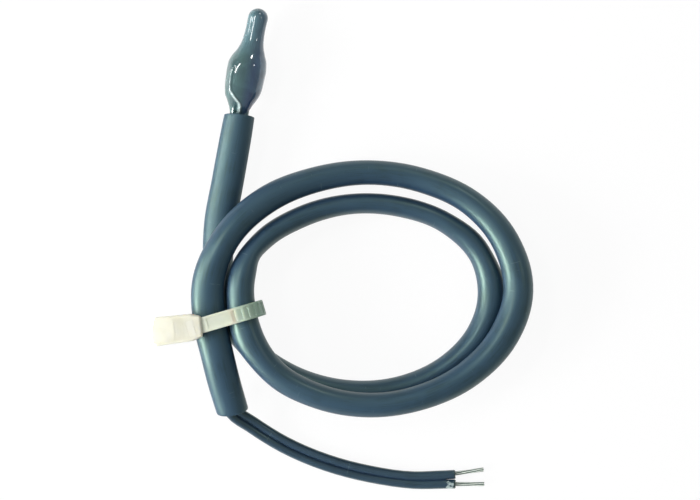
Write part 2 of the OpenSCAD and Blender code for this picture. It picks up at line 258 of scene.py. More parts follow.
class Paint:
    """A Principled material in the making. A source is a socket, a number, vector or colour."""

    def __init__(self, name):
        self.mat = bpy.data.materials.new(name)
        self.mat.use_nodes = True
        self.tree = self.mat.node_tree

    def feed(self, socket, source):
        """Links a socket to a source that is a socket, and sets it to any other source."""
        if isinstance(source, bpy.types.NodeSocket):
            self.tree.links.new(source, socket)
        elif socket.type == "RGBA":
            socket.default_value = (*source, 1)
        else:
            socket.default_value = source

    def add(self, kind, sources, out=0, **settings):
        """A new node's output, with sources for its inputs and settings for its properties."""
        node = self.tree.nodes.new("ShaderNode" + kind)
        for key, value in settings.items():
            setattr(node, key, value)
        for key, source in sources.items():
            self.feed(node.inputs[key], source)
        return node.outputs[out]

    def body(self):
        """Place on the object, in metres."""
        return self.add("TexCoord", {}, "Object")

    def flow(self):
        """Place on the skin of a loft: round it and along it."""
        return self.add("UVMap", {}, uv_map="flow")

    def axis(self, source, number):
        """One axis of a vector: 0 for x, 1 for y."""
        return self.add("SeparateXYZ", {0: source}, number)

    def noise(self, place, **values):
        """Noise over a place, with values for the node's inputs."""
        return self.add("TexNoise", {"Vector": place, **values})

    def work(self, how, *values):
        """The sum, product or other operation that how names."""
        return self.add("Math", dict(enumerate(values)), operation=how)

    def away(self, place, point):
        """Distance from a point."""
        return self.add("VectorMath", {0: place, 1: point}, "Value", operation="DISTANCE")

    def span(self, source, low, high, to_low=0.0, to_high=1.0, course="SMOOTHSTEP"):
        """Maps low to high onto to_low to to_high, and holds both beyond."""
        return self.add("MapRange", {"Value": source, "From Min": low, "From Max": high,
                                     "To Min": to_low, "To Max": to_high},
                        interpolation_type=course)

    def ramp(self, source, stops):
        """Colours at places from 0 to 1; finer than 1/256 it can't tell places apart."""
        node = self.tree.nodes.new("ShaderNodeValToRGB")
        self.feed(node.inputs[0], source)
        band = node.color_ramp
        while len(band.elements) < len(stops):
            band.elements.new(0.5)
        for element, (place, value) in zip(band.elements, stops):
            element.position = place
            element.color = (*value, 1)
        return node.outputs["Color"]

    def blend(self, factor, a, b, how="MIX"):
        """Colour a with b laid over it by factor."""
        node = self.tree.nodes.new("ShaderNodeMix")
        node.data_type, node.blend_type = "RGBA", how
        for key, source in (("Factor", factor), ("A", a), ("B", b)):
            self.feed(next(s for s in node.inputs if s.enabled and s.name == key), source)
        return next(s for s in node.outputs if s.enabled)

    def bump(self, height, strength, distance, **under):
        """A normal tilted by a height, from the one given as Normal if there is one."""
        return self.add("Bump", {"Height": height, "Strength": strength, "Distance": distance,
                                 **under})

    def finish(self, sources):
        """The material, with sources for its shader."""
        shader = self.tree.nodes["Principled BSDF"]
        for key, source in sources.items():
            self.feed(shader.inputs[key], source)
        return self.mat


def linear(*rgb):
    """Linear colour of an sRGB one given in 0 to 255."""
    return tuple((c / 255 / 12.92) if c <= 10 else ((c / 255 + 0.055) / 1.055) ** 2.4 for c in rgb)


# Stretch of the sleeve, from its mouth on, over which its duller end clears.
BLOOM_FROM, BLOOM_TO = 20, 34


def vinyl(name, dark, light, rough, fine, bloom=0.0, coat=0.1, nick=None):
    """Soft extruded vinyl: mottled, faint lines along the run, fine scuffs, duller by bloom at
    the end that was shrunk over the head. At nick it is torn pale, and dark beyond."""
    p = Paint(name)
    flow, body = p.flow(), p.body()
    lines = p.noise(p.add("Mapping", {"Vector": flow, "Scale": (3.2, 0.12, 1)}),
                    Scale=1.6, Detail=4.0)
    mottle = p.noise(body, Scale=260.0, Detail=5.0, Roughness=0.6)
    skinned = p.ramp(p.work("ADD", lines, mottle), [(0.75, dark), (1.0, light)])
    crossed = p.add("Mapping", {"Vector": flow, "Scale": (0.35, 2.6, 1),
                                "Rotation": (0, 0, 0.35)})
    marks = p.noise(crossed, Scale=0.9, Detail=2.0)
    scuff = p.ramp(marks, [(0.70, (0, 0, 0)), (0.74, (0.22, 0.22, 0.22))])
    skinned = p.blend(scuff, skinned, linear(120, 140, 142))
    if nick:
        flake = p.noise(body, Scale=2400.0, Detail=2.0)
        torn = p.work("MULTIPLY_ADD", flake, 0.003, p.away(body, nick))
        skinned = p.blend(p.span(torn, 0.00185, 0.0021, 0.7, 0), skinned, linear(176, 190, 188))
        beyond = p.span(p.axis(body, 0), nick[0] + 0.0004, nick[0] + 0.0008, 0, 0.7)
        skinned = p.blend(beyond, skinned, linear(18, 30, 28))
    tone = p.work("MULTIPLY_ADD", mottle, 0.16, rough - 0.08)
    dull = p.span(p.axis(flow, 1), BLOOM_FROM, BLOOM_TO, bloom, 0, "LINEAR")
    deep = p.bump(lines, 0.12, 0.00006)
    skin = p.bump(p.noise(body, Scale=fine, Detail=3.0), 0.18, 0.00003, Normal=deep)
    return p.finish({
        "Base Color": skinned, "Roughness": p.work("ADD", tone, dull), "Normal": skin,
        "IOR": 1.55, "Specular IOR Level": 0.7, "Specular Tint": (0.64, 1, 0.72),
        "Coat Weight": coat, "Coat Roughness": 0.18,
    })


# Course of the ridge on the head: share of the way from y -8 to 1, share of x from -3 to 0.
RIDGE = [(0.09, 0.93), (0.14, 0.87), (0.27, 0.53), (0.4, 0.28), (0.56, 0.2), (0.75, 0.16),
         (0.96, 0.18)]


def resin_material():
    """Dipped resin: dark blue-green with bluer depths, wet gloss and slow ripples; a painted
    highlight on the ridge, painted shade by the mouth and a right side painted lighter are laid
    into its colour.
    """
    p = Paint("resin")
    body = p.body()
    x, y = p.axis(body, 0), p.axis(body, 1)
    depth = p.noise(body, Scale=300.0, Detail=4.0, Distortion=0.8)
    aside = p.span(x, -0.0026, 0.0032, course="LINEAR")
    # Painted light: both tones are made lighter towards the head's right side to make up for the
    # shade the lamps leave there; the bluer tone right of the middle is the resin's own.
    thin = p.ramp(aside, [
        (0.0, linear(66, 94, 92)), (0.3, linear(60, 86, 86)), (0.5, linear(54, 80, 92)),
        (0.66, linear(58, 82, 110)), (0.82, linear(70, 98, 120)), (1.0, linear(80, 112, 124)),
    ])
    dark = p.ramp(aside, [
        (0.0, linear(58, 82, 84)), (0.4, linear(48, 70, 74)), (0.66, linear(46, 64, 96)),
        (1.0, linear(66, 92, 108)),
    ])
    cloud = p.ramp(depth, [(0.42, (0, 0, 0)), (0.58, (1, 1, 1))])
    neck = p.span(y, 0.0005, 0.0045, 0, 0.45)
    tint = p.blend(neck, p.blend(cloud, thin, dark), linear(84, 116, 126))
    # The resin over the left lead stands up as a ridge that runs from the flank to the mouth.
    place = p.ramp(p.span(y, -0.008, 0.001), [(at, (share,) * 3) for at, share in RIDGE])
    gap = p.work("ABSOLUTE", p.work("SUBTRACT", x, p.work("MULTIPLY_ADD", place, 0.003, -0.003)))
    crest = p.work("MULTIPLY", p.span(gap, 0, 0.0006, 1, 0), p.span(y, -0.0008, 0.001, 1, 0))
    ridge = p.bump(crest, 1.0, 0.00017)
    # The ripples calm down towards the nose.
    ripple = p.noise(body, Scale=420.0, Detail=1.0)
    skin = p.bump(ripple, p.span(y, 0.001, 0.0035, 0.3, 0.02), 0.00012, Normal=ridge)
    # Painted shade: a dark spot beside the ridge, where the two leads part at the mouth, stands in
    # for the shade in the gap there.
    painted_gap_shade = p.span(p.away(body, (-0.0009, -0.0072, 0.0045)), 0.0002, 0.0006, 0.85, 0)
    tint = p.blend(painted_gap_shade, tint, linear(30, 44, 52))
    # The ridge's lower part is painted pale along its crest: a painted highlight.
    pale = p.work("MULTIPLY", p.span(gap, 0, 0.00042, 0.7, 0), p.span(y, -0.0048, -0.0036, 1, 0))
    pale = p.work("MULTIPLY", pale, p.span(y, -0.0076, -0.0068))
    return p.finish({
        "Base Color": p.blend(pale, tint, linear(196, 214, 212)), "Normal": skin,
        "Coat Normal": skin, "Roughness": 0.36, "IOR": 1.5, "Specular IOR Level": 0.16,
        "Specular Tint": (0.75, 1, 0.95), "Coat Weight": 1.0, "Coat IOR": 1.72,
        "Coat Roughness": 0.04,
    })


def nylon_material(name, strap_len=None):
    """Natural nylon: milky, with faint flow marks; on a strap, the dark sleeve showing through the
    nylon is painted into its colour.
    """
    p = Paint(name)
    body = p.body()
    cloud = p.noise(body, Scale=350.0, Detail=4.0)
    tint = p.ramp(cloud, [(0.35, linear(214, 211, 194)), (0.65, linear(222, 219, 203))])
    if strap_len:
        run = p.span(p.axis(p.flow(), 1), 0, strap_len, course="LINEAR")
        # Painted show-through: the strap is painted darker and greener where it lies over the
        # sleeve.
        below = p.ramp(run, [(s / strap_len, linear(*tone)) for s, tone in (
            (0, (222, 228, 224)), (4.8, (218, 226, 222)), (5.5, (219, 214, 208)),
            (6.2, (192, 210, 204)), (9.6, (166, 196, 188)), (12, (156, 186, 180)),
            (strap_len - 4.5, (156, 186, 180)), (strap_len - 3, (255, 255, 255)),
        )])
        tint = p.blend(0.9, below, tint, "MULTIPLY")
    skin = p.bump(p.noise(body, Scale=2600.0, Detail=3.0), 0.15, 0.00003)
    return p.finish({
        "Base Color": tint, "Normal": skin, "Roughness": 0.36, "IOR": 1.53,
        "Subsurface Weight": 0.35, "Subsurface Radius": (1.0, 0.9, 0.6),
        "Subsurface Scale": 0.0012,
    })


def metal(name, dark, light, rough, scale, share=1.0, groove_shade=None):
    """Tinned, soldered or fired metal, with grain at the given scale; the colour given for the
    grooves is painted shade on the strands' sides where they meet."""
    p = Paint(name)
    grain = p.noise(p.body(), Scale=scale, Detail=4.0)
    tint = p.ramp(grain, [(0.35, dark), (0.65, light)])
    if groove_shade:
        # Painted shade: strands take the groove colour everywhere but their outward face.
        inward = p.work("ABSOLUTE", p.work("SUBTRACT", p.axis(p.flow(), 0), 0.5))
        tint = p.blend(p.span(inward, 0.36, 0.45, 1, 0), tint, groove_shade)
    return p.finish({
        "Base Color": tint, "Roughness": p.work("MULTIPLY_ADD", grain, 0.2, rough - 0.1),
        "Normal": p.bump(grain, 0.2, 0.00002), "Metallic": share,
    })


SLEEVE_VINYL = vinyl("sleeve_vinyl", linear(28, 45, 65), linear(36, 56, 80), 0.44, 4200.0,
                     bloom=0.14)
LEAD_VINYL = vinyl("lead_vinyl", linear(26, 40, 59), linear(34, 50, 71), 0.32, 5200.0,
                   coat=0.3, nick=(0.0439, -0.0604, 0.0012))
RESIN = resin_material()
NYLON = nylon_material("nylon")
TINNED = metal("tinned_wire", linear(222, 228, 218), linear(240, 244, 236), 0.34, 3000.0,
               share=0.3, groove_shade=linear(110, 126, 116))
SOLDER = metal("solder", linear(150, 150, 154), linear(196, 196, 200), 0.35, 1500.0)
SILVER = metal("fired_silver", linear(196, 196, 190), linear(226, 226, 220), 0.5, 9000.0)
CHIP = metal("chip_ceramic", linear(36, 36, 40), linear(58, 56, 58), 0.6, 7000.0, share=0.0)

# ---------------------------------------------------------------- sleeve

SLEEVE_WALL = 0.4
# What the tube's half width and half height make up together where it is flattened.
HALVES = 4.62
SIDES = 32
SUBSTEPS = 8
RIM = 0.07
# Reach along the tube over which its cut ends run askew.
ASKEW = 1.2
sleeve_track = stations([Vector(p) for p in SLEEVE_ROUTE], SUBSTEPS)
width_table = list(enumerate(HALF_WIDTH))
half_wide = [curve_at(width_table, k / SUBSTEPS) for k in range(len(sleeve_track))]
half_tall = [min(SLEEVE_D / 2, HALVES - wide) for wide in half_wide]
sleeve_along = run_lengths(sleeve_track)
sleeve_len = sleeve_along[-1]

# Where one side of the tube is drawn in, or out if negative: place, reach, side and depth.
PINCHES = [
    ((5.9, -29.3, 6), 2.2, -1, 0.45), ((5.0, -34.0, 7), 4.0, -1, 0.18),
    ((43.2, -23.2, 2.3), 3.2, 1, 0.42), ((8.0, -42.3, 7.5), 3.2, 1, -0.45),
    ((7.3, -43.2, 2.9), 3.2, 1, 0.5),
]


def sleeve_ring(k, r, shift=0.0):
    """Ring k of the sleeve, with its cut ends a little askew."""
    at, way, side, up = sleeve_track[k]
    s = sleeve_along[k]
    near, far = math.exp(-(s / ASKEW) ** 2), math.exp(-((sleeve_len - s) / ASKEW) ** 2)
    drawn = {-1: 0.0, 1: 0.0}
    for place, reach, hand, depth in PINCHES:
        drawn[hand] += depth * math.exp(-((at - Vector(place)).length / reach) ** 2)
    out = []
    for j in range(SIDES):
        a = 2 * math.pi * j / SIDES
        ca, sa = math.cos(a), math.sin(a)
        wave = 1 + 0.010 * noise.noise(Vector((ca * 0.8, sa * 0.8, s * 0.16)))
        thin = SLEEVE_D / 2 - r
        across, tall = wave * (half_wide[k] - thin), wave * (half_tall[k] - thin)
        across -= drawn[1 if ca > 0 else -1]
        skew = near * (-0.30 * max(sa, -0.3) + 0.16 * ca) + far * (0.2 * sa - 0.25 * ca)
        out.append(at + side * (across * ca) + up * (tall * sa) + way * (skew + shift))
    return out


# The rings run along the outside, round the rim at the free end, back along the inside and round
# the rim at the mouth.
outer_r = SLEEVE_D / 2
inner_r = outer_r - SLEEVE_WALL
last = len(sleeve_track) - 1
rim_steps = [(outer_r, RIM), (outer_r - RIM * 0.3, RIM * 0.3), (outer_r - RIM, 0),
             (inner_r + RIM, 0), (inner_r, RIM)]
rings = [(k, outer_r, 0) for k in range(1, last)]
rings += [(last, r, -shift) for r, shift in rim_steps]
rings += [(k, inner_r, 0) for k in range(last - 1, 0, -1)]
rings += [(0, r, shift) for r, shift in reversed(rim_steps)]
shell = Shell()
shell.loft([sleeve_ring(*ring_at) for ring_at in rings], [sleeve_along[k] for k, _, _ in rings],
           around=math.pi * SLEEVE_D, wrap=True)
sleeve = shell.piece("sleeve_tube", SLEEVE_VINYL)
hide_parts("sleeve")

# ---------------------------------------------------------------- twin lead

# A core has this many sides, and twice WEB_HALF of them are the flat that both cores share.
CORE_SIDES = 24
WEB_HALF = 4
CORE_R = CORE_D / 2
# The visible lead is a little fuller than the solid one, and swells over its last stretch.
FULL_R = 0.69
SWELL = 0.05
SWELL_LEN = 9
LEG_X = 0.75
LEG_IN = 2.0
STRIP_Y = -5.3
JOINT_Y = -4.3
STRAND_IN = 1.5
SPLIT_LEN = 1.6
SPLIT_ANGLE = (1, 7)
TINNED_LEN = 4.7
# Share of the wires' angle that the cut ends of the cores take.
PARTING = 0.3


def leg_station(y):
    return (Vector((0, y, HEAD_Z)), Vector((0, -1, 0)), Vector((-1, 0, 0)), Vector((0, 0, 1)))


lead_track = stations([Vector(p) for p in SLEEVE_ROUTE[1:] + LEAD_ROUTE], 4)
legs = [leg_station(STRIP_Y), leg_station(MOUTH_Y - LEG_IN)]
all_stations = legs + lead_track
end_at, end_way, end_side, end_up = all_stations[-1]
# Places along the lead, counted from where its cores join.
lead_v = [-4.5, 0.0] + run_lengths(lead_track)


def full_r(v):
    """Radius of a core at v along the lead."""
    return FULL_R + SWELL * smooth(v, lead_v[-1] - SWELL_LEN, lead_v[-1])


def lifted(st, r):
    """The station raised by what a fuller core adds, so that it still lies on the ground."""
    return (st[0] + st[3] * (r - CORE_R), st[1], st[2], st[3])


def core_end(side, length, share=1.0):
    """Station of a core that has left the lead, at a length from where the cores part."""
    a = math.radians(SPLIT_ANGLE[0 if side > 0 else 1]) * share
    way = end_way * math.cos(a) + end_side * (side * math.sin(a))
    across = way.cross(Vector((0, 0, 1))).normalized()
    at = end_at + end_side * (side * (FULL_R + SWELL)) + way * length
    return at, way, across, across.cross(way)


def core_loop(st, side, aside, r, web=False):
    """Section of one core; where web is true its inner side is the flat that both share."""
    at, _, across, up = st
    out = []
    for j in range(CORE_SIDES):
        a = math.pi * (2 * j + 1) / CORE_SIDES
        x, z = math.cos(a) * r, math.sin(a) * r
        if web and (j < WEB_HALF or j >= CORE_SIDES - WEB_HALF):
            x, z = aside, z * 0.92
        x = -x * side + side * aside
        out.append(at + across * x + up * z)
    return out


lead = Shell()
for side in (1, -1):
    loops = []
    for k, st in enumerate(all_stations):
        webbed = k >= len(legs)
        r = full_r(lead_v[k]) if webbed else CORE_R
        loops.append(core_loop(lifted(st, r), side, r if webbed else LEG_X, r, webbed))
    v = list(lead_v)
    for length in (0.4, 0.8, 1.2, SPLIT_LEN - 0.12, SPLIT_LEN):
        r = full_r(v[-1]) - (0.06 if length == SPLIT_LEN else 0)
        loops.append(core_loop(lifted(core_end(side, length, PARTING), r), side, 0, r))
        v.append(v[-1] + 0.4)
    # A torn rim, then the hole in which the conductor lies.
    for sunk, r, step in ((0, 0.5, 0.2), (0.02, 0.34, 0.2), (0.5, 0.32, 0.5)):
        loops.append(core_loop(core_end(side, SPLIT_LEN - sunk, PARTING), side, 0, r))
        v.append(v[-1] + step)
    for n, loop in enumerate(loops[-5:-1]):
        for j, p in enumerate(loop):
            rough = noise.noise(Vector((j * 0.9, side * 3.1, n * 0.35)))
            loop[j] = p + end_way * (0.16 * rough) + end_up * (0.05 * rough)
    lead.solid(loops, v, around=math.pi * CORE_D)
twin = lead.piece("twin_lead", LEAD_VINYL)
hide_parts("lead_insulation")

# ---------------------------------------------------------------- conductors

# The bundle inside the insulation, then its strands: six round a seventh, each turning once
# along LAY.
STRAND_R = 0.29
BUNDLE_SIDES = 8
STRANDS = 6
WIRE_R = 0.118
WIRE_OUT = 0.225
WIRE_SIDES = 10
WIRE_STEPS = 40
LAY = 34.0
FILLER_R = 0.202
FILLER_SIDES = 14
FILLER_STEPS = 8


def wire_piece(name, side, node):
    """A conductor: plain inside the insulation, seven twisted and tinned strands beyond it."""
    out = Shell()
    bundle = [(leg_station(JOINT_Y + STRAND_IN), LEG_X)]
    bundle += [(st, LEG_X if k < len(legs) else CORE_R) for k, st in enumerate(all_stations)]
    bundle.append((core_end(side, SPLIT_LEN - 0.4), 0))
    loops = [ring(st, STRAND_R, BUNDLE_SIDES, side * aside, math.pi / BUNDLE_SIDES)
             for st, aside in bundle]
    out.solid(loops, [0.5 * k for k in range(len(loops))])
    start = SPLIT_LEN - 0.6
    for n in range(STRANDS + 1):
        reach = TINNED_LEN + 0.6 - 0.09 * abs(math.sin(2.3 * n + side))
        along = [reach * k / WIRE_STEPS for k in range(WIRE_STEPS + 1)]
        loops = []
        for s in along:
            turn = 2 * math.pi * (n / STRANDS + s / LAY) + side
            off = 0 if n == STRANDS else WIRE_OUT
            st = core_end(side, start + s)
            at = st[0] + st[2] * (off * math.cos(turn)) + st[3] * (off * 0.92 * math.sin(turn))
            r = WIRE_R * (0.75 if s == along[-1] else 1)
            loops.append(ring((at, st[1], st[2], st[3]), r, WIRE_SIDES, turn=turn))
        out.solid(loops, along)
    # Solder fills the bundle between its strands.
    loops = []
    for k in range(FILLER_STEPS + 1):
        st = core_end(side, start + (TINNED_LEN + 0.35) * k / FILLER_STEPS)
        loops.append(ring(st, FILLER_R + 0.008 * math.sin(2.2 * k + side), FILLER_SIDES))
    out.solid(loops, [0.6 * k for k in range(FILLER_STEPS + 1)])
    wire = out.piece(name, TINNED, sharp=50)
    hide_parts(node)
    return wire


wires = [
    wire_piece("wire_left", 1, "conductor_left"),
    wire_piece("wire_right", -1, "conductor_right"),
]

# ---------------------------------------------------------------- cords

LEAD_PATH = [[c * MM for c in st[0]] for st in all_stations]
LEAD_PATH.append([c * MM for c in end_at + end_way * SPLIT_LEN])

# ---------------------------------------------------------------- dipped head

LEFT_FLANK = [
    (-9.8, 1.52), (-8.4, 1.52), (-7.5, 1.64), (-6.7, 1.86), (-5.8, 2.32), (-4.7, 2.92),
    (-3.4, 3.15), (-1.9, 3.29), (-0.6, 3.33), (0.7, 3.24), (1.7, 2.9), (2.7, 2.32), (4.1, 1.8),
    (5.4, 1.6), (6.5, 1.53), (7.5, 1.5), (8.2, 1.48),
]
RIGHT_FLANK = [
    (-9.8, 1.52), (-8.4, 1.4), (-7.4, 1.27), (-6.7, 1.38), (-5.8, 1.8), (-4.4, 2.46),
    (-3, 2.8), (-1.3, 2.95), (0.2, 2.96), (1.5, 2.76), (2.5, 2.3), (3.7, 1.9), (5, 1.69),
    (6.1, 1.62), (7.2, 1.66), (8.2, 1.72),
]
HALF_HEIGHT = [
    (-9.8, 0.78), (-7.8, 0.8), (-7, 1.02), (-6, 1.62), (-5, 2.28), (-4, 2.74), (-2, 3.06),
    (0, 3.12), (1, 2.98), (2.5, 2.28), (4, 1.8), (5.4, 1.62), (7, 1.58), (8.2, 1.6),
]
LEGS_Y = -9.8
NOSE_Y = 8.2
NOSE_LEN = 1.6
HEAD_SIDES = 72
HEAD_RINGS = 144
TIP_RINGS = 16
# The belly reaches no higher than this above the middle of the head.
HEAD_REACH = 3.19


def head_section(y, scale=1.0, at_y=None):
    """Section of the dipped head at y, or the one at at_y shrunk to close the tip."""
    where = y if at_y is None else at_y
    left, right = curve_at(LEFT_FLANK, where), curve_at(RIGHT_FLANK, where)
    tall = curve_at(HALF_HEIGHT, where)
    middle, wide = (right - left) / 2, (right + left) / 2
    pinch = 1 - smooth(y, -7.3, -5.4)
    shoulder = smooth(y, -6.2, -4.2) * (1 - smooth(y, -0.5, 2.5))
    # The ripples calm down towards the nose, where the photo shows one long glint.
    calm = 1 - 0.9 * smooth(y, 1.5, 4)
    out = []
    for j in range(HEAD_SIDES):
        a = 2 * math.pi * (j + 0.5) / HEAD_SIDES
        # The buried lead makes the left flank of the belly squarer than the right one.
        power = 2 + (0.9 * shoulder if math.cos(a) < 0 else 0)
        reach = scale * (abs(math.cos(a)) ** power + abs(math.sin(a)) ** power) ** (-1 / power)
        x, z = wide * reach * math.cos(a), tall * reach * math.sin(a)
        z *= 1 - 0.25 * pinch * math.exp(-((x + 0.35) / 0.3) ** 2)
        spot = Vector((middle + x, y, z))
        ripple = 0.07 * noise.noise(spot * 0.42) + 0.025 * calm * noise.noise(spot * 1.1)
        ripple *= smooth(y, -7.6, -5.5)
        grow = 1 + ripple / max(tall, 0.5)
        out.append(Vector((middle + x * grow, y, HEAD_Z + min(z * grow, HEAD_REACH))))
    return out


head_loops, head_v = [], []
for k in range(HEAD_RINGS):
    y = LEGS_Y + (NOSE_Y - LEGS_Y) * k / HEAD_RINGS
    head_loops.append(head_section(y))
    head_v.append(y)
for k in range(TIP_RINGS):
    a = math.pi / 2 * k / TIP_RINGS
    y = NOSE_Y + NOSE_LEN * math.sin(a)
    head_loops.append(head_section(y, math.cos(a), NOSE_Y))
    head_v.append(y)
shell = Shell()
shell.solid(head_loops, head_v, around=20)
for spot in shell.verts:
    spot.z = max(spot.z, 0.01)
head = shell.piece("resin_head", RESIN)
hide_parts("epoxy_head")

# ---------------------------------------------------------------- cable tie

# The tie is drawn looking along the sleeve's runs: along the strap, then the height.
TIE_MID = Vector((4, -39.9, 0))
TIE_TURN = math.radians(26.5)
TIE_ALONG = Vector((math.cos(TIE_TURN), math.sin(TIE_TURN), 0))
TIE_ACROSS = Vector((-math.sin(TIE_TURN), math.cos(TIE_TURN), 0))
STRAP_W = 2.5
STRAP_T = 1.1
TOOTH_PITCH = 1.1
TOOTH_H = 0.14
TOOTH_RISE = 0.7
SMOOTH_ROOT = 5
TOOTH_STEPS = 4
# The strap's channel lies between two rails, its edges are rounded, and its root has a panel.
CHANNEL = 0.82
EDGE = 0.14
PANEL_FROM, PANEL_TO, PANEL_SUNK, PANEL_STEPS = 1.3, 5.1, 0.07, 14
# Middles of the three runs of sleeve that the strap goes round, at STRAP_R.
STRAP_R = 3.6
ROOT_TURN = 115
LEFT_RUN, RIGHT_RUN, LOW_RUN = (-2.9, 7.1964), (2.5, 7.485), (0.15, 3.6)
TIE_TOP = 10.996
TAIL_TOP = TIE_TOP + 0.03
HEAD_TALL = 3.8
# Edges that turn by more than this stay crisp.
CRISP = 38


def in_tie(along, height, across=0.0):
    """A point of the tie in the part's frame."""
    return TIE_MID + TIE_ALONG * along + TIE_ACROSS * across + Vector((0, 0, height))


def outward(a, b):
    """Angle at which the strap leaves run a for run b."""
    return math.degrees(math.atan2(b[1] - a[1], b[0] - a[0])) + 90


# Each bend's run, and the angles at which the strap meets and leaves it.
BENDS = [
    (LEFT_RUN, ROOT_TURN, outward(LEFT_RUN, RIGHT_RUN)),
    (RIGHT_RUN, outward(LEFT_RUN, RIGHT_RUN), outward(RIGHT_RUN, LOW_RUN)),
    (LOW_RUN, outward(RIGHT_RUN, LOW_RUN), outward(LOW_RUN, LEFT_RUN) - 360),
    (LEFT_RUN, outward(LOW_RUN, LEFT_RUN) - 360, -180),
]


def bend_len(i):
    return STRAP_R * math.radians(BENDS[i][1] - BENDS[i][2])


def straight_len(i):
    if i == 3:
        return TAIL_TOP - LEFT_RUN[1]
    return math.dist(BENDS[i][0], BENDS[i + 1][0])


STRAP_LEN = sum(bend_len(i) + straight_len(i) for i in range(4))


def strap_at(s, depth, across):
    """Point at length s along the strap, depth under its outer face."""
    i = 0
    while i < 3 and s > bend_len(i) + straight_len(i):
        s -= bend_len(i) + straight_len(i)
        i += 1
    turned = min(s, bend_len(i))
    a = math.radians(BENDS[i][1]) - turned / STRAP_R
    r = STRAP_R - depth
    along = BENDS[i][0][0] + r * math.cos(a) + (s - turned) * math.sin(a)
    height = BENDS[i][0][1] + r * math.sin(a) - (s - turned) * math.cos(a)
    return in_tie(along, height, across)


def strap_section(s, sunk):
    """Section of the strap with its channel sunk between two rails."""
    half, soft = STRAP_W / 2, EDGE * 0.3
    flat = [
        (-half + EDGE, 0), (-CHANNEL - 0.1, 0), (-CHANNEL, sunk), (-CHANNEL / 2, sunk), (0, sunk),
        (CHANNEL / 2, sunk), (CHANNEL, sunk), (CHANNEL + 0.1, 0), (half - EDGE, 0),
        (half - soft, soft), (half, EDGE), (half, STRAP_T - EDGE),
        (half - soft, STRAP_T - soft), (half - EDGE, STRAP_T), (0, STRAP_T),
        (-half + EDGE, STRAP_T), (-half + soft, STRAP_T - soft),
        (-half, STRAP_T - EDGE), (-half, EDGE), (-half + soft, soft),
    ]
    return [strap_at(s, depth, across) for across, depth in flat]


# How deep the channel lies at each place along the strap: a panel at the root, then the teeth.
teeth = int((STRAP_LEN - SMOOTH_ROOT) / TOOTH_PITCH)
tooth_start = STRAP_LEN - teeth * TOOTH_PITCH
profile = [(0, 0), (PANEL_FROM - 0.12, 0), (PANEL_FROM, PANEL_SUNK)]
profile += [(PANEL_FROM + (PANEL_TO - PANEL_FROM) * k / PANEL_STEPS, PANEL_SUNK)
            for k in range(1, PANEL_STEPS + 1)]
profile += [(PANEL_TO + 0.1, 0), (tooth_start, 0)]
for k in range(teeth):
    s = tooth_start + k * TOOTH_PITCH
    for n in range(TOOTH_STEPS + 1):
        profile.append((s + (0.02 if n == 0 else 0) + TOOTH_RISE * TOOTH_PITCH * n / TOOTH_STEPS,
                        TOOTH_H * n / TOOTH_STEPS))
    profile.append((s + TOOTH_RISE * TOOTH_PITCH + 0.05, 0))
    profile.append((s + (TOOTH_RISE + 1) / 2 * TOOTH_PITCH, 0))
profile = sorted(p for p in profile if p[0] < STRAP_LEN - 0.01) + [(STRAP_LEN, 0)]
shell = Shell()
shell.solid([strap_section(s, sunk) for s, sunk in profile], [s for s, _ in profile],
            around=2 * (STRAP_W + STRAP_T), end_at=STRAP_LEN)
strap = shell.piece("tie_strap", nylon_material("strap_nylon", STRAP_LEN), sharp=CRISP)


def rounded_outline(corners, inset, steps=7):
    """Convex outline round circles (x, y, r) in anticlockwise order, drawn in by inset."""
    normals = []
    for k, (x, y, r) in enumerate(corners):
        nx, ny, nr = corners[(k + 1) % len(corners)]
        away = math.atan2(ny - y, nx - x)
        normals.append(away - math.acos((r - nr) / math.hypot(nx - x, ny - y)))
    out = []
    for k, (x, y, r) in enumerate(corners):
        a, b = normals[k - 1], normals[k]
        while b < a:
            b += 2 * math.pi
        for n in range(steps + 1):
            turn = a + (b - a) * n / steps
            out.append((x + (r - inset) * math.cos(turn), y + (r - inset) * math.sin(turn)))
    return out


# The head reaches from LEFT_END to RIGHT_END along the strap and turns round SKEW_AT.
RIGHT_END = LEFT_RUN[0] - 1.3
LEFT_END = RIGHT_END - 8.4
SKEW_AT = RIGHT_END - 1.1
HEAD_SKEW = math.radians(9.5)


def in_head(along, height, across=0.0):
    """A point of the tie's head, which sits a little askew on its strap."""
    a, c = along - SKEW_AT, across
    return in_tie(SKEW_AT + a * math.cos(HEAD_SKEW) + c * math.sin(HEAD_SKEW), height,
                  c * math.cos(HEAD_SKEW) - a * math.sin(HEAD_SKEW))


# Circles that the head's outline goes round (along, across, radius), and how far the outline is
# drawn in at each height.
CORNERS = [
    (LEFT_END + 1.35, -0.95, 1.3), (RIGHT_END - 1.7, -1.7, 0.4), (RIGHT_END - 0.4, -1.3, 0.4),
    (RIGHT_END - 0.4, 1.4, 0.4), (RIGHT_END - 1.7, 1.8, 0.4), (LEFT_END + 1.5, 1.3, 1.0),
]
LEVELS = [
    (0, 0.3), (0.08, 0.12), (0.25, 0), (HEAD_TALL - 0.42, 0), (HEAD_TALL - 0.24, 0.05),
    (HEAD_TALL - 0.1, 0.14), (HEAD_TALL - 0.02, 0.27), (HEAD_TALL, 0.37),
]


def closed_mesh(name, loops, along, around=1.0):
    """A closed mesh in millimetres whose faces look outwards."""
    out = Shell()
    out.solid(loops, along, around)
    me = out.mesh(name)
    bm = bmesh.new()
    bm.from_mesh(me)
    bmesh.ops.recalc_face_normals(bm, faces=bm.faces)
    bm.to_mesh(me)
    bm.free()
    return me


def box_loops(a0, a1, h0, h1, half):
    """A box across the tie, between two places along it and two heights."""
    return [[in_tie(a, h, w) for a, w in ((a0, -half), (a1, -half), (a1, half), (a0, half))]
            for h in (h0, h1)]


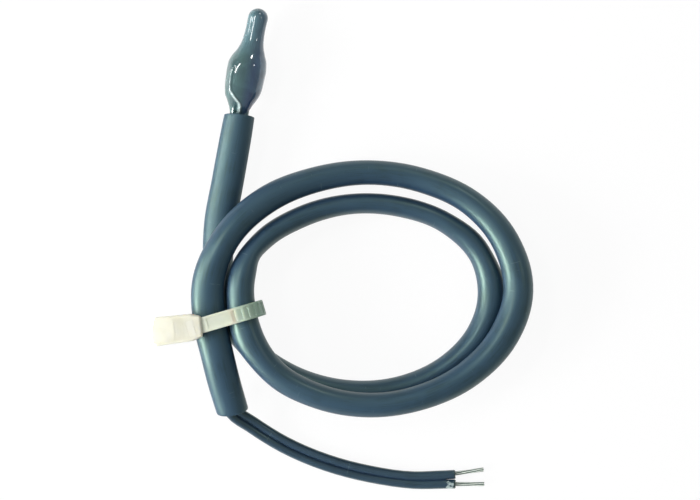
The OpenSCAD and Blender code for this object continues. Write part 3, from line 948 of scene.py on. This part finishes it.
def arc_loops(middle, radius, wide, h0, h1, half, n=14):
    """A curved trench of even width, seen from above as part of a ring round middle."""
    loops = []
    for h in (h0, h1):
        inner, outer = [], []
        for k in range(n + 1):
            t = -half + 2 * half * k / n
            inner.append(in_head(middle + math.sqrt(radius ** 2 - t ** 2), h, t))
            outer.append(in_head(middle + wide + math.sqrt(radius ** 2 - t ** 2), h, t))
        loops.append(inner + outer[::-1])
    return loops


def bore_loops(run, r, half, n=48):
    """A round bore for a run of sleeve."""
    turns = [2 * math.pi * k / n for k in range(n)]
    return [[in_tie(run[0] + r * math.cos(a), run[1] + r * math.sin(a), w) for a in turns]
            for w in (-half, half)]


def cut(me, tools):
    """The mesh with the volume between each tool's loops cut away, worked out in millimetres."""
    ob = placed("blank", me)
    spent = [ob]
    for loops in tools:
        knife = placed("knife", closed_mesh("cutter", loops, range(len(loops))))
        spent.append(knife)
        mod = ob.modifiers.new("cut", "BOOLEAN")
        mod.operation, mod.solver, mod.object = "DIFFERENCE", "EXACT", knife
    bpy.context.view_layer.update()
    out = bpy.data.meshes.new_from_object(ob.evaluated_get(bpy.context.evaluated_depsgraph_get()))
    for used in spent:
        bpy.data.objects.remove(used)
    return out


# The slot and the grip's curved grooves are only as deep as the top shows them.
SLOT_GAP, SLOT_DEEP, SLOT_HALF = 0.06, 0.08, 1.31
GROOVES, GROOVE_PITCH, GROOVE_WIDE, GROOVE_DEEP = 4, 0.47, 0.22, 0.05
GROOVE_R, GROOVE_HALF, GROOVE_BACK = 6, 1.7, 1.93
strap_face = LEFT_RUN[0] - STRAP_R
slot_from, slot_to = strap_face - SLOT_GAP, strap_face + STRAP_T + SLOT_GAP
tools = [
    box_loops(slot_from, slot_to, TIE_TOP - SLOT_DEEP, TIE_TOP + 1, SLOT_HALF),
    bore_loops(LEFT_RUN, 2.5, 3),
]
for k in range(GROOVES):
    tools.append(arc_loops(slot_from - GROOVE_BACK + GROOVE_PITCH * k - GROOVE_R, GROOVE_R,
                           GROOVE_WIDE, TIE_TOP - GROOVE_DEEP, TIE_TOP + 0.5, GROOVE_HALF))
tie_loops = [[in_head(x, TIE_TOP - HEAD_TALL + height, y)
              for x, y in rounded_outline(CORNERS, inset)] for height, inset in LEVELS]
blank = closed_mesh("tie_head", tie_loops, [height for height, _ in LEVELS], around=25)
tie_head = as_piece(cut(blank, tools), "tie_head", NYLON, sharp=CRISP)
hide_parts("cable_tie")
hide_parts("cable_tie")

# ---------------------------------------------------------------- inner pieces

INNER = {
    "thermistor_chip": CHIP, "electrode_left": SILVER, "electrode_right": SILVER,
    "element_lead_left": TINNED, "element_lead_right": TINNED,
    "solder_joint_left": SOLDER, "solder_joint_right": SOLDER,
}
for node, material in INNER.items():
    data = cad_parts[node].data
    data.materials.clear()
    data.materials.append(material)

# ---------------------------------------------------------------- floor and light

# All sizes from here on are in metres.
FLOOR_HALF = 3.0
PAPER = 0.86
# How much of the paper's own light the camera and mirrored rays see.
PAPER_GLOW = 0.93


def paper_ground():
    """Paper that shades like paper and shows nearly white to the camera and in reflections."""
    mat = bpy.data.materials.new("paper_ground")
    mat.use_nodes = True
    nodes, links = mat.node_tree.nodes, mat.node_tree.links
    nodes.clear()

    def work(how, a, b):
        node = nodes.new("ShaderNodeMath")
        node.operation = how
        links.new(a, node.inputs[0])
        if isinstance(b, float):
            node.inputs[1].default_value = b
        else:
            links.new(b, node.inputs[1])
        return node.outputs[0]

    out = nodes.new("ShaderNodeOutputMaterial")
    plain = nodes.new("ShaderNodeBsdfDiffuse")
    plain.inputs["Color"].default_value = (PAPER, PAPER, PAPER, 1)
    bright = nodes.new("ShaderNodeEmission")
    bright.inputs["Strength"].default_value = 1.0
    ray = nodes.new("ShaderNodeLightPath").outputs
    seen = work("MAXIMUM", ray["Is Camera Ray"], ray["Is Glossy Ray"])
    seen = work("MAXIMUM", seen, ray["Is Transmission Ray"])
    mix = nodes.new("ShaderNodeMixShader")
    links.new(work("MULTIPLY", seen, PAPER_GLOW), mix.inputs[0])
    links.new(plain.outputs[0], mix.inputs[1])
    links.new(bright.outputs[0], mix.inputs[2])
    links.new(mix.outputs[0], out.inputs["Surface"])
    return mat


floor_data = bpy.data.meshes.new("floor")
floor_corners = [(-1, -1), (1, -1), (1, 1), (-1, 1)]
floor_data.from_pydata([(x * FLOOR_HALF, y * FLOOR_HALF, 0) for x, y in floor_corners], [],
                       [(0, 1, 2, 3)])
floor = placed("floor", floor_data)
floor_data.materials.append(paper_ground())

world = bpy.data.worlds.new("studio")
bpy.context.scene.world = world
world.use_nodes = True
sky = world.node_tree.nodes["Background"].inputs
sky["Color"].default_value = (0.95, 1, 1, 1)
sky["Strength"].default_value = 0.37


def lamp(name, at, target, size, power, spread=180):
    """An area lamp that looks from one point to another; its spread is in degrees."""
    data = bpy.data.lights.new(name, "AREA")
    data.shape = "RECTANGLE"
    data.size, data.size_y = size
    data.energy = power
    data.spread = math.radians(spread)
    ob = placed(name, data)
    ob.location = at
    way = Vector(target) - Vector(at)
    ob.rotation_euler = way.to_track_quat("-Z", "Y").to_euler()


# The key stands high on the left. The narrow ones below it draw the streaks on the left runs and
# on the bend in front, and fill and spark set small glints from the far side.
MID = (0.02, -0.025, 0.0)
lamp("key", (-0.46, 0.12, 0.72), MID, (0.42, 0.1), 2.2)
lamp("left", (-0.3, -0.045, 0.2), (-0.02, -0.034, 0), (0.2, 0.06), 0.012, spread=22)
lamp("left_low", (-0.3, -0.04, 0.05), (-0.02, -0.028, 0), (0.2, 0.08), 0.02, spread=26)
lamp("low", (-0.3, -0.18, 0.14), (-0.005, -0.056, 0), (0.22, 0.1), 0.085, spread=26)
lamp("front", (-0.25, -0.25, 0.1), (0, -0.05, 0), (0.22, 0.1), 0.048, spread=26)
lamp("fill", (0.12, 0.45, 0.3), MID, (0.08, 0.05), 0.3)
lamp("spark", (0.35, 0.16, 0.42), MID, (0.05, 0.05), 0.12)

bpy.context.scene.view_settings.view_transform = "Standard"
